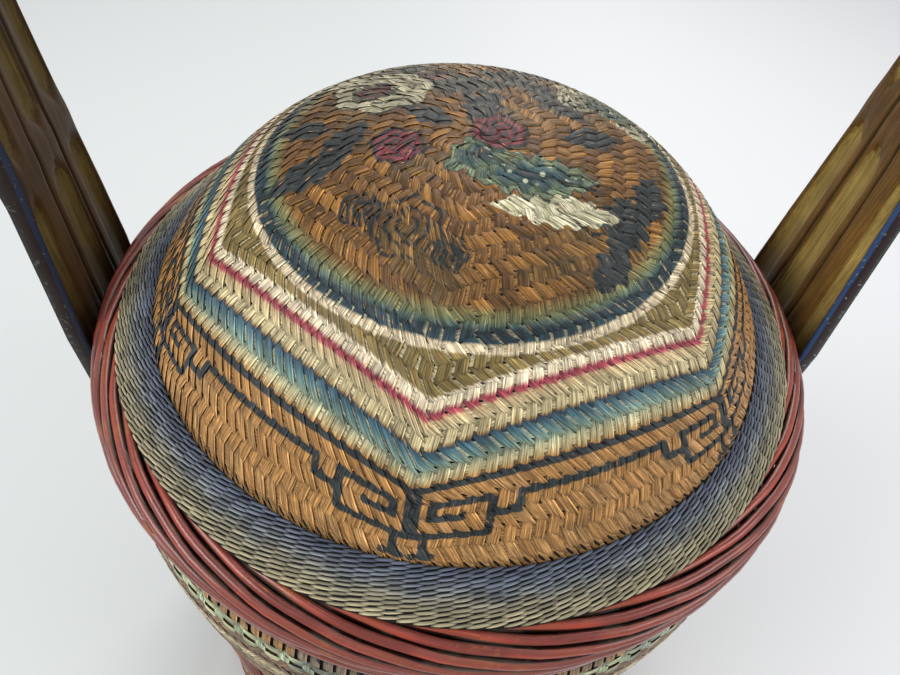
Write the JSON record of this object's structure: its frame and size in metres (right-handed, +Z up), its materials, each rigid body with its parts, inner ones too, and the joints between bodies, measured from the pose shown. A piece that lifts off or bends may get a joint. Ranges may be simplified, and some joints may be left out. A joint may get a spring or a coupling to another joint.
{
  "type": "tiered wedding basket",
  "caption": "Round tiered carrying basket of painted bamboo plaiting with a domed lid, twisted cane rims and a bent bamboo handle.",
  "frame": {"origin": "middle of the foot, on the ground", "axes": "+Z up; the handle stands in the XZ plane; the front is on the -Y side"},
  "size_m": [0.4122, 0.381, 0.6943],
  "materials": {
    "red_lacquered_cane": "worn red lacquer over cane, satin",
    "painted_plait": "oil-painted bamboo plaiting, satin",
    "twined_cane": "stained twined cane, matt",
    "plain_plait": "bare bamboo plaiting, matt",
    "split_bamboo": "oiled split bamboo, satin",
    "hoop_bamboo": "bare split bamboo, matt",
    "peg_bamboo": "darkened bamboo, satin"
  },
  "bodies": {
    "base": {"cross_pin_left_high": "peg_bamboo", "cross_pin_left_low": "peg_bamboo", "cross_pin_right_high": "peg_bamboo", "cross_pin_right_low": "peg_bamboo", "foot_peg_left_back": "peg_bamboo", "foot_peg_left_front": "peg_bamboo", "foot_peg_left_middle": "peg_bamboo", "foot_peg_right_back": "peg_bamboo", "foot_peg_right_front": "peg_bamboo", "foot_peg_right_middle": "peg_bamboo", "handle_slat_back": "split_bamboo", "handle_slat_front": "split_bamboo", "handle_slat_middle": "split_bamboo", "lower_cross_batten": "split_bamboo", "lower_floor": "plain_plait", "lower_floor_batten": "split_bamboo", "lower_foot_hoop": "hoop_bamboo", "lower_foot_rope": "red_lacquered_cane", "lower_mouth_hoop": "hoop_bamboo", "lower_rim_rope": "red_lacquered_cane", "lower_wall": "painted_plait", "rim_peg_left_back": "peg_bamboo", "rim_peg_left_front": "peg_bamboo", "rim_peg_left_middle": "peg_bamboo", "rim_peg_right_back": "peg_bamboo", "rim_peg_right_front": "peg_bamboo", "rim_peg_right_middle": "peg_bamboo"},
    "upper_tier": {"upper_cross_batten": "split_bamboo", "upper_floor": "plain_plait", "upper_floor_batten": "split_bamboo", "upper_mouth_hoop": "hoop_bamboo", "upper_nest_hoop": "hoop_bamboo", "upper_rim_rope": "red_lacquered_cane", "upper_wall": "painted_plait"},
    "lid": {"lid_collar_hoop": "hoop_bamboo", "lid_dome": "painted_plait", "lid_rim_rope": "red_lacquered_cane", "lid_twined_band": "twined_cane"}
  },
  "joints": [
    {"name": "upper_tier_lift", "type": "slide", "parent": "base", "child": "upper_tier", "axis": [0, 0, 1], "range_m": [0, 0.05]},
    {"name": "lid_lift", "type": "slide", "parent": "upper_tier", "child": "lid", "axis": [0, 0, 1], "range_m": [0, 0.085]}
  ]
}
